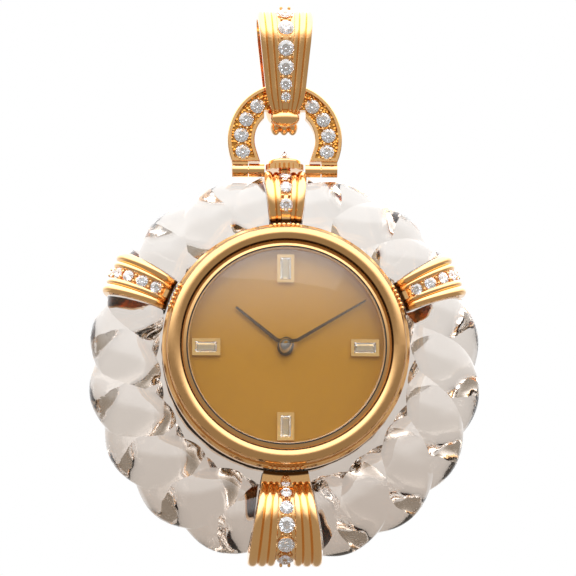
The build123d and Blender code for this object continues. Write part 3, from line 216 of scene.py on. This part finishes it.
# light turns many times inside carved crystal before it comes out, so each ray may go on longer
for limit in ("max_bounces", "glossy_bounces", "transmission_bounces"):
    setattr(bpy.context.scene.cycles, limit, ray_turns)
print("sweep", shade_side, "to", shade_back, "and an overhead light of", overhead_light)

# %% [markdown]
# The floor lies well below the hanging watch and shines by itself, so that it is as white as the
# sweep. To the camera its painted surface keeps a share, and there the watch's shadow falls.

# %% Floor
floor_depth = -0.25
floor_size = 6
painted_share = 0.25
bpy.ops.object.select_all(action="DESELECT")
bpy.ops.mesh.primitive_plane_add(size=floor_size, location=(0, 0, floor_depth))
floor = bpy.context.object
floor.name = "floor"
floor_paint, tree, shader, output = finish_named(
    "matt_white_floor", Base_Color=paint("f4f4f2"), Roughness=0.9
)
path = add(tree, "ShaderNodeLightPath")
place = add(tree, "ShaderNodeTexCoord").outputs["Object"]
depth = add(tree, "ShaderNodeSeparateXYZ", Vector=place).outputs["Y"]
straight = straight_through(tree, path, depth)
seen = blend(tree, straight, sweep_ramp(tree, depth), paint("ffffff"))
bare = add(tree, "ShaderNodeEmission", Color=seen, Strength=1)
lit = add(
    tree, "ShaderNodeMath", {"operation": "MULTIPLY_ADD"}, input_0=path.outputs["Is Camera Ray"],
    input_1=painted_share, input_2=path.outputs["Is Diffuse Ray"],
)
both = add(
    tree, "ShaderNodeMixShader", Fac=lit.outputs[0],
    input_1=bare.outputs["Emission"], input_2=shader.outputs["BSDF"],
)
tree.links.new(both.outputs["Shader"], output.inputs["Surface"])
floor.data.materials.append(floor_paint)
print("floor at", floor_depth, "m,", floor_size, "m wide")

# %% [markdown]
# Two large soft lamps light the watch from above in front and from its right.

# %% Lamps
def softbox(name, direction, distance, width, height, watts, warmth="ffffff"):
    """A large soft lamp in a direction from the watch, facing it."""
    data = bpy.data.lights.new(name, "AREA")
    data.shape = "RECTANGLE"
    data.size, data.size_y = width, height
    data.energy = watts
    data.color = paint(warmth)[:3]
    lamp = bpy.data.objects.new(name, data)
    bpy.context.collection.objects.link(lamp)
    way = Vector(direction).normalized()
    lamp.location = aim + way * distance
    lamp.rotation_mode = "QUATERNION"
    lamp.rotation_quaternion = way.to_track_quat("Z", "Y")
    return lamp


overhead = softbox("overhead_lamp", (-0.15, -0.6, 0.8), 0.6, 0.75, 0.6, 2.0, "fffaf2")
side = softbox("side_lamp", (0.95, -0.35, 0.25), 0.6, 0.25, 0.6, 0.9, "fff6ea")
# their own sharp outlines would show in the watch glass, where the silk's soft light is enough
for lamp in (overhead, side):
    lamp.visible_glossy = False

# %% [markdown]
# The case, the bands, the link and the bail are 18 carat yellow gold, cast and then polished on
# a soft wheel. The wheel leaves hair-fine scratches and a faint waviness, which a noise a few
# tenths of a millimetre wide gives to the roughness and the bump.

# %% Polished yellow gold
# the share of a painted shade ring's half width that is fully dark
full_share = 0.4


def distance_from(tree, value, level):
    """How far a value is from a level, either way."""
    off = add(tree, "ShaderNodeMath", {"operation": "SUBTRACT"}, input_0=value, input_1=level)
    return add(tree, "ShaderNodeMath", {"operation": "ABSOLUTE"}, input_0=off.outputs[0]).outputs[0]


def ring_mask(tree, radius, half_width):
    """1 on a thin circle about the middle of the case, and 0 away from it."""
    place = add(tree, "ShaderNodeTexCoord").outputs["Object"]
    moved = add(
        tree, "ShaderNodeVectorMath", {"operation": "SUBTRACT"}, input_0=place, input_1=case_centre
    )
    flat = add(
        tree, "ShaderNodeVectorMath", {"operation": "MULTIPLY"},
        input_0=moved.outputs[0], input_1=(1, 0, 1),
    )
    length = add(tree, "ShaderNodeVectorMath", {"operation": "LENGTH"}, input_0=flat.outputs[0])
    away = distance_from(tree, length.outputs["Value"], radius)
    return add(
        tree, "ShaderNodeMapRange", {"interpolation_type": "SMOOTHSTEP"},
        Value=away, From_Min=half_width * full_share, From_Max=half_width, To_Min=1, To_Max=0,
    ).outputs["Result"]


def polished_gold(name, tint, roughness, painted_shade_ring=None, floor_at=None):
    """Gold with hair lines, and if wanted a ring of painted shade (radius, half width), or a grained
    ground painted darker as shade.
    """
    material, tree, shader, output = finish_named(name, Metallic=1, Roughness=roughness)
    place = add(tree, "ShaderNodeTexCoord").outputs["Object"]
    cloud = add(tree, "ShaderNodeTexNoise", Vector=place, Scale=grain_size(2.5), Detail=3)
    duller = [c * 0.93 for c in paint(tint)[:3]] + [1]
    colour = blend(tree, cloud.outputs[0], paint(tint), duller)
    if painted_shade_ring:
        # painted shade: a dark brown ring, 4a2c12, put where shade falls in a step
        colour = blend(tree, ring_mask(tree, *painted_shade_ring), colour, paint("4a2c12"))
    hair = add(tree, "ShaderNodeTexNoise", Vector=place, Scale=grain_size(0.25), Detail=2)
    worn = add(
        tree, "ShaderNodeMapRange", Value=hair.outputs[0], From_Min=0.3, From_Max=0.7,
        To_Min=roughness * 0.8, To_Max=roughness * 1.5,
    )
    tree.links.new(worn.outputs["Result"], shader.inputs["Roughness"])
    relief = add(tree, "ShaderNodeBump", Height=hair.outputs[0], Strength=0.06, Distance=0.02 * mm)
    if floor_at:
        # the sunk ground between the stones is cut up with the graver into small round grains
        depth = add(tree, "ShaderNodeSeparateXYZ", Vector=place).outputs["Y"]
        ground = add(
            tree, "ShaderNodeMapRange", Value=distance_from(tree, depth, floor_at),
            From_Min=0.1 * mm, From_Max=0.07 * mm,
        ).outputs["Result"]
        cells = add(tree, "ShaderNodeTexVoronoi", Vector=place, Scale=grain_size(0.42))
        domes = add(
            tree, "ShaderNodeMapRange",
            Value=cells.outputs["Distance"], From_Max=0.6, To_Min=1, To_Max=0,
        )
        relief = add(
            tree, "ShaderNodeBump", Height=domes.outputs["Result"], Strength=0.9, Distance=0.12 * mm,
            Normal=relief.outputs["Normal"],
        )
        tree.links.new(ground, relief.inputs["Strength"])
        # painted shade: the sunk ground is painted darker, c98e45, than the gold around it
        colour = blend(tree, ground, colour, paint("c98e45"))
    tree.links.new(colour, shader.inputs["Base Color"])
    tree.links.new(relief.outputs["Normal"], shader.inputs["Normal"])
    return material


cast_tint, cast_roughness = "f5c78c", 0.13
# the bezel's gold is painted darker than the cast gold, as painted shade, and the markers' settings
# lighter, as a painted highlight
shaded_bezel_tint, turned_roughness = "dcb07a", 0.15
lit_marker_tint, bright_roughness = "fbd592", 0.08
gold = polished_gold("polished_yellow_gold", cast_tint, cast_roughness)
dress(
    gold, "bail_shell", "hinge_pins", "case_middle", "case_back", "crown_button", "stem_tube",
)
# painted shade: the narrow step between the bands' ribs and the case is painted dark, as the shade in
# that recess
case_low, case_high = node_box("case_middle")
collar_radius = (case_high.x - case_low.x) / 2
shaded_step_outside, shaded_step_half_width = 0.42 * mm, 0.34 * mm
dress(
    polished_gold(
        "ribbed_yellow_gold_painted_shade", cast_tint, cast_roughness, (collar_radius + shaded_step_outside, shaded_step_half_width)
    ),
    "upper_band", "right_band", "left_band", "lower_band",
)
ground_depth = 0.3 * mm
ground_at = node_box("link_frame")[0].y + ground_depth
dress(
    polished_gold("grained_yellow_gold_painted_shade", cast_tint, cast_roughness, floor_at=ground_at), "link_frame"
)
# painted shade: a thin dark ring where the bezel's round meets the slope down to the glass, standing in
# for the shade of the step there
shade_ring_inset, shade_ring_half_width = 1.68 * mm, 0.16 * mm
shade_ring_radius = (bezel_high.x - bezel_low.x) / 2 - shade_ring_inset
dress(
    polished_gold(
        "turned_yellow_gold_painted_shade", shaded_bezel_tint, turned_roughness, (shade_ring_radius, shade_ring_half_width)
    ),
    "bezel",
)
dress(polished_gold("bright_cut_gold_painted_highlight", lit_marker_tint, bright_roughness), "marker_settings")
# the painted shade ring's radius is printed with the collar's
print("collar radius in mm", round(collar_radius / mm, 2), "painted_shade_ring", round(shade_ring_radius / mm, 2))

# %% [markdown]
# The dial is a gold disc with a satin face: it was brushed with fine wire until it scattered
# light evenly. A grain of a tenth of a millimetre with a broad, soft reflection gives that look.

# %% Satin dial
dial_gold, tree, shader, output = finish_named("satin_gold_dial", Metallic=1, Roughness=0.42)
place = add(tree, "ShaderNodeTexCoord").outputs["Object"]
grain = add(tree, "ShaderNodeTexNoise", Vector=place, Scale=grain_size(0.12), Detail=2)
tone = add(tree, "ShaderNodeValToRGB", Fac=grain.outputs[0])
tone.color_ramp.elements[0].position = 0.3
tone.color_ramp.elements[0].color = paint("ae7e2c")
tone.color_ramp.elements[1].position = 0.7
tone.color_ramp.elements[1].color = paint("b58634")
tree.links.new(tone.outputs["Color"], shader.inputs["Base Color"])
relief = add(tree, "ShaderNodeBump", Height=grain.outputs[0], Strength=0.04, Distance=0.005 * mm)
tree.links.new(relief.outputs["Normal"], shader.inputs["Normal"])
dress(dial_gold, "dial")

# %% [markdown]
# Rock crystal is clear quartz: it bends light by 1.544, and carving and polishing leave it as
# smooth as glass. The watch glass is clear mineral glass and the stones are diamonds, which bend
# light by 2.42 and so throw most of it back.

# %% Clear stones and glass
def clear_stone(name, tint, bend, roughness=0.0, painted_foot_shade=None, wander=None):
    """A clear finish of one refraction index that lets the light of lamps through.

    With a painted foot shade its colour is painted darker towards the crystal's foot, as shade, and
    with a wander its faces swell softly by that much.
    """
    material, tree, shader, output = finish_named(
        name, Base_Color=paint(tint), Roughness=roughness, IOR=bend, Transmission_Weight=1
    )
    path = add(tree, "ShaderNodeLightPath")
    through = add(tree, "ShaderNodeBsdfTransparent", Color=paint(tint))
    both = add(
        tree, "ShaderNodeMixShader", Fac=path.outputs["Is Shadow Ray"],
        input_1=shader.outputs["BSDF"], input_2=through.outputs["BSDF"],
    )
    tree.links.new(both.outputs["Shader"], output.inputs["Surface"])
    place = add(tree, "ShaderNodeTexCoord").outputs["Object"]
    # painted shade: the colour darkens from the crystal's top down to its foot
    if painted_foot_shade:
        height = add(tree, "ShaderNodeSeparateXYZ", Vector=place).outputs["Z"]
        share = add(
            tree, "ShaderNodeMapRange",
            Value=height, From_Min=crystal_low.z, From_Max=crystal_high.z,
        )
        colour = blend(tree, share.outputs["Result"], paint(painted_foot_shade), paint(tint))
        tree.links.new(colour, shader.inputs["Base Color"])
    if wander:
        # a hand-held wheel leaves long soft swells in a carved face
        swell = add(tree, "ShaderNodeTexNoise", Vector=place, Scale=grain_size(3.5), Detail=1)
        relief = add(tree, "ShaderNodeBump", Height=swell.outputs[0], Strength=1, Distance=wander)
        tree.links.new(relief.outputs["Normal"], shader.inputs["Normal"])
    veil = add(tree, "ShaderNodeTexNoise", Vector=place, Scale=grain_size(3), Detail=2)
    polish = add(
        tree, "ShaderNodeMapRange", Value=veil.outputs[0], From_Min=0.4, From_Max=0.7,
        To_Min=roughness, To_Max=roughness + 0.02,
    )
    tree.links.new(polish.outputs["Result"], shader.inputs["Roughness"])
    return material


crystal_low, crystal_high = node_box("crystal_ring")
quartz_bend, glass_bend, diamond_bend, ruby_bend = 1.544, 1.5, 2.417, 1.76
crystal_roughness = 0.035
swell_height = 0.24 * mm
# the crystal's darker foot colour, b8a99c, is painted shade
crystal = clear_stone(
    "carved_rock_crystal", "f5f0eb", quartz_bend, crystal_roughness, "b8a99c", swell_height
)
dress(crystal, "crystal_ring")
dress(clear_stone("mineral_watch_glass", "fefefc", glass_bend), "watch_glass")
dress(
    clear_stone("cut_diamond", "e6f0ff", diamond_bend), "bail_diamonds", "link_diamonds",
    "upper_band_diamonds", "right_band_diamonds", "left_band_diamonds", "lower_band_diamonds",
    "marker_diamonds",
)
# the crown's pointed stone stands free of any gold, so it shows greyer than the others, and that grey
# is painted into its tint as shade
dress(clear_stone("pointed_diamond", "c4b9b2", diamond_bend), "crown_diamond")
dress(clear_stone("synthetic_ruby", "d8204a", ruby_bend), "jewels")
print("crystal from", round(crystal_low.z / mm, 1), "to", round(crystal_high.z / mm, 1), "mm")

# %% [markdown]
# The hands are slim steel batons, darkened and polished. Inside the case, which only opens for
# repair, the plate and bridges are nickel-plated, the wheels are gilt brass, and the winding
# wheels, springs and screws are steel. Each has its own colour and its own fine grain.

# %% Steel, nickel, brass and rubber
def worked_metal(name, dark, light, roughness, size_mm, bump=0.1, metallic=1):
    """A metal or rubber with a fine grain that shifts its colour, roughness and relief."""
    material, tree, shader, output = finish_named(name, Metallic=metallic, Roughness=roughness)
    place = add(tree, "ShaderNodeTexCoord").outputs["Object"]
    grain = add(tree, "ShaderNodeTexNoise", Vector=place, Scale=grain_size(size_mm), Detail=2)
    tone = add(tree, "ShaderNodeValToRGB", Fac=grain.outputs[0])
    tone.color_ramp.elements[0].position = 0.35
    tone.color_ramp.elements[0].color = paint(dark)
    tone.color_ramp.elements[1].position = 0.65
    tone.color_ramp.elements[1].color = paint(light)
    tree.links.new(tone.outputs["Color"], shader.inputs["Base Color"])
    relief = add(tree, "ShaderNodeBump", Height=grain.outputs[0], Strength=bump, Distance=0.01 * mm)
    tree.links.new(relief.outputs["Normal"], shader.inputs["Normal"])
    return material


dress(worked_metal("darkened_steel", "4a3726", "5f4a35", 0.25, 0.3), "hour_hand", "minute_hand")
dress(
    worked_metal("grained_nickel", "b4b2ac", "c9c7c1", 0.3, 0.08), "main_plate", "barrel_bridge",
    "train_bridge", "balance_cock", "pallet_cock",
)
dress(
    worked_metal("gilt_brass", "c69a50", "d8af63", 0.25, 0.1), "barrel", "centre_wheel", "third_wheel",
    "fourth_wheel", "minute_wheel", "hour_wheel", "balance_wheel",
)
dress(worked_metal("turned_brass", "a8894a", "bd9d5a", 0.35, 0.15), "movement_ring")
dress(
    worked_metal("polished_tool_steel", "9a9c9e", "b3b5b7", 0.2, 0.1), "ratchet_wheel",
    "crown_wheel", "click", "winding_stem", "winding_pinion", "cannon_pinion", "escape_wheel",
    "pallet_fork",
)
dress(worked_metal("tempered_spring_steel", "70757c", "868b92", 0.25, 0.1), "mainspring", "hairspring")
dress(worked_metal("blued_steel", "1c2c66", "2b3f86", 0.2, 0.1), "bridge_screws")
dress(
    worked_metal("black_rubber", "0d0d0d", "171615", 0.7, 0.1, metallic=0),
    "glass_gasket", "back_gasket",
)
print("finishes", sorted(m.name for m in bpy.data.materials if m.users))

# %% [markdown]
# Every stone is held by grains: small beads of gold that the setter raises from the metal round
# the seat with a pointed tool, and rounds off over the stone's edge. Two sit between each stone
# and the next, and two at each end of a row. The stones' own meshes tell where each one is: the
# largest flat face is its table, which gives its middle, its direction and its size.

# %% Stone places
# how far the girdle lies below the table, as a share of the stone's radius
girdle_share = 0.34


def stone_islands(name):
    """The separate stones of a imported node, each as a list of triangles of world points."""
    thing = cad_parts[name]
    mesh = thing.data
    points = [thing.matrix_world @ v.co for v in mesh.vertices]
    keys = [tuple(round(c / mm, 3) for c in p) for p in points]
    group = {key: key for key in keys}

    def root(key):
        while group[key] != key:
            group[key] = group[group[key]]
            key = group[key]
        return key

    mesh.calc_loop_triangles()
    for triangle in mesh.loop_triangles:
        first, *others = [root(keys[i]) for i in triangle.vertices]
        for other in others:
            group[root(other)] = root(first)
    found = {}
    for triangle in mesh.loop_triangles:
        corner = root(keys[triangle.vertices[0]])
        found.setdefault(corner, []).append([points[i] for i in triangle.vertices])
    return list(found.values())


def round_stones(name):
    """The girdle's middle, the outward direction and the radius of each round stone of a node."""
    seats = []
    for triangles in stone_islands(name):
        flats = {}
        for a, b, c in triangles:
            area = (b - a).cross(c - a)
            if area.length > 0:
                key = tuple(round(n, 2) for n in area.normalized())
                flats.setdefault(key, []).append((area.length, (a + b + c) / 3, area))
        table = max(flats.values(), key=lambda flat: sum(t[0] for t in flat))
        weight = sum(t[0] for t in table)
        outward = sum((t[2] for t in table), Vector()).normalized()
        middle = sum((t[1] * t[0] for t in table), Vector()) / weight
        corners = [p for triangle in triangles for p in triangle]
        radius = max((p - middle - outward * (p - middle).dot(outward)).length for p in corners)
        seats.append((middle - outward * girdle_share * radius, outward, radius))
    return seats


stone_rows = {}
for name in ("bail", "upper_band", "right_band", "left_band", "lower_band"):
    stones = round_stones(name + "_diamonds")
    spread = max(stones, key=lambda s: (s[0] - stones[0][0]).length)[0]
    stone_rows[name] = [sorted(stones, key=lambda s: (s[0] - spread).length)]
link_stones = round_stones("link_diamonds")
stone_rows["link"] = [
    sorted([s for s in link_stones if (s[0].x > 0) == right], key=lambda s: s[0].z)
    for right in (False, True)
]
print("stones per row", {name: [len(row) for row in rows] for name, rows in stone_rows.items()})

# %% [markdown]
# One grain is modelled from a coarse ball: in edit mode its lower half is drawn down into a
# short stem that stands on the metal. Each copy gets its own mesh, turned to the stones it
# holds, and the grains of one part are joined and ride with that part's body.

# %% Grains
def edit_ball(name, segments, rings, deepen):
    """A ball of radius 1 whose lower half is drawn down in edit mode, by a number of radii."""
    bpy.ops.object.select_all(action="DESELECT")
    bpy.ops.mesh.primitive_uv_sphere_add(segments=segments, ring_count=rings, radius=1)
    ball = bpy.context.object
    ball.name = name
    bpy.ops.object.mode_set(mode="EDIT")
    bpy.ops.mesh.select_all(action="DESELECT")
    bpy.ops.object.mode_set(mode="OBJECT")
    for vertex in ball.data.vertices:
        vertex.select = vertex.co.z < -0.01
    bpy.ops.object.mode_set(mode="EDIT")
    bpy.ops.transform.translate(value=(0, 0, -deepen))
    bpy.ops.object.mode_set(mode="OBJECT")
    return ball


def planted(pattern, place, outward, radius):
    """A copy of a ball with its own mesh, at a place, its top facing outward."""
    copy = bpy.data.objects.new(pattern.name, pattern.data.copy())
    bpy.context.collection.objects.link(copy)
    turn = outward.to_track_quat("Z", "Y").to_matrix().to_4x4()
    copy.data.transform(Matrix.Translation(place) @ turn @ Matrix.Scale(radius, 4))
    return copy


def joined(name, pieces, body, material):
    """One object from several, smooth, in one finish, riding on a body."""
    bpy.ops.object.select_all(action="DESELECT")
    for piece in pieces:
        piece.select_set(True)
    bpy.context.view_layer.objects.active = pieces[0]
    bpy.ops.object.join()
    whole = bpy.context.object
    whole.name = name
    whole.data.materials.clear()
    whole.data.materials.append(material)
    bpy.ops.object.shade_smooth()
    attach(whole, body)
    return whole


small_segments, small_rings = 10, 6
grain_stem, bead_stem = 2.2, 0.3
grain = edit_ball("grain", small_segments, small_rings, grain_stem)
bead = edit_ball("bead", small_segments, small_rings, bead_stem)
grain_radius = 0.19 * mm
grain_lift = 0.08 * mm
# both as shares of the stone's radius: how far a pair stands apart, and how far past a row's end
grain_spread = 0.5
row_end = 0.9
riding = {"bail": ("bail", "bail_gold"), "link": ("link", "link_gold")}
for name, rows in stone_rows.items():
    grains = []
    for row in rows:
        places = []
        for here, after in zip(row, row[1:]):
            middle = (here[0] * after[2] + after[0] * here[2]) / (here[2] + after[2])
            along = (after[0] - here[0]).normalized()
            places.append((middle, (here[1] + after[1]).normalized(), along, min(here[2], after[2])))
        for here, near in ((row[0], row[1]), (row[-1], row[-2])):
            along = (here[0] - near[0]).normalized()
            places.append((here[0] + along * here[2] * row_end, here[1], along, here[2]))
        for middle, outward, along, radius in places:
            across = outward.cross(along).normalized()
            for way in (-1, 1):
                spot = middle + across * way * radius * grain_spread + outward * grain_lift
                grains.append(planted(grain, spot, outward, grain_radius))
    body, slot = riding.get(name, ("head", "band_gold"))
    joined(name + "_grains", grains, body, gold)
    print(name, "has", len(grains), "grains")

# %% [markdown]
# Where a band meets the case, its foot ends in a row of fine beads, rolled along the strip with
# a knurling wheel before it was bent. The rows follow the collar's round edge, so each bead is
# placed by its angle about the middle of the case.

# %% Beaded feet
bead_radius = 0.27 * mm
# both as shares of the bead's radius: how far it stands in from the edge, and out from the face
bead_inset, bead_rise = 0.6, 0.35
for name, azimuth, half_width in (
    ("upper_band", 90, 1.6), ("right_band", 24, 1.5), ("left_band", 156, 1.5), ("lower_band", 270, 2.2),
):
    row = []
    reach = collar_radius - bead_radius * bead_inset
    count = round(half_width * mm / bead_radius)
    for k in range(count):
        angle = radians(azimuth) + (k - (count - 1) / 2) * 2 * bead_radius / reach
        spot = Vector((case_centre.x + reach * cos(angle), 0, case_centre.z + reach * sin(angle)))
        spot.y = case_low.y - bead_radius * bead_rise
        row.append(planted(bead, spot, Vector((0, -1, 0)), bead_radius))
    joined(name + "_beads", row, "head", gold)
    print(name, "has", count, "beads")

# %% [markdown]
# At its bottom the bail is thicker: the front ends in a smooth round chin and the back in three
# short lobes, one for each group of ribs. They are filed from the solder that closes the loop,
# so here they are rounded balls, pressed to size in edit mode and sunk into the strap.

# %% Chin and heel of the bail
bail_foot = Vector((0, 0, node_box("bail_shell")[0].z))
large_segments, large_rings = 24, 14
# each ball's place from the bail's foot, and its half width, half depth and half height, in mm
chin_parts = [((0, -1.3, 0.42), (1.7, 1.0, 1.1))]
lobe_pitch = 1.0
chin_parts += [((n * lobe_pitch, 1.1, -0.25), (0.62, 1.1, 1.0)) for n in (-1, 0, 1)]
lumps = []
for place, size in chin_parts:
    lump = edit_ball("bail_lump", large_segments, large_rings, 0)
    bpy.ops.object.mode_set(mode="EDIT")
    bpy.ops.mesh.select_all(action="SELECT")
    bpy.ops.transform.resize(value=[s * mm for s in size])
    bpy.ops.object.mode_set(mode="OBJECT")
    lump.data.transform(Matrix.Translation(bail_foot + Vector(place) * mm))
    lumps.append(lump)
joined("bail_chin", lumps, "bail", gold)
# the balls that the grains and beads were copied from aren't part of the watch
for pattern in (grain, bead):
    bpy.data.objects.remove(pattern)
print("chin and lobes from", len(lumps), "balls")
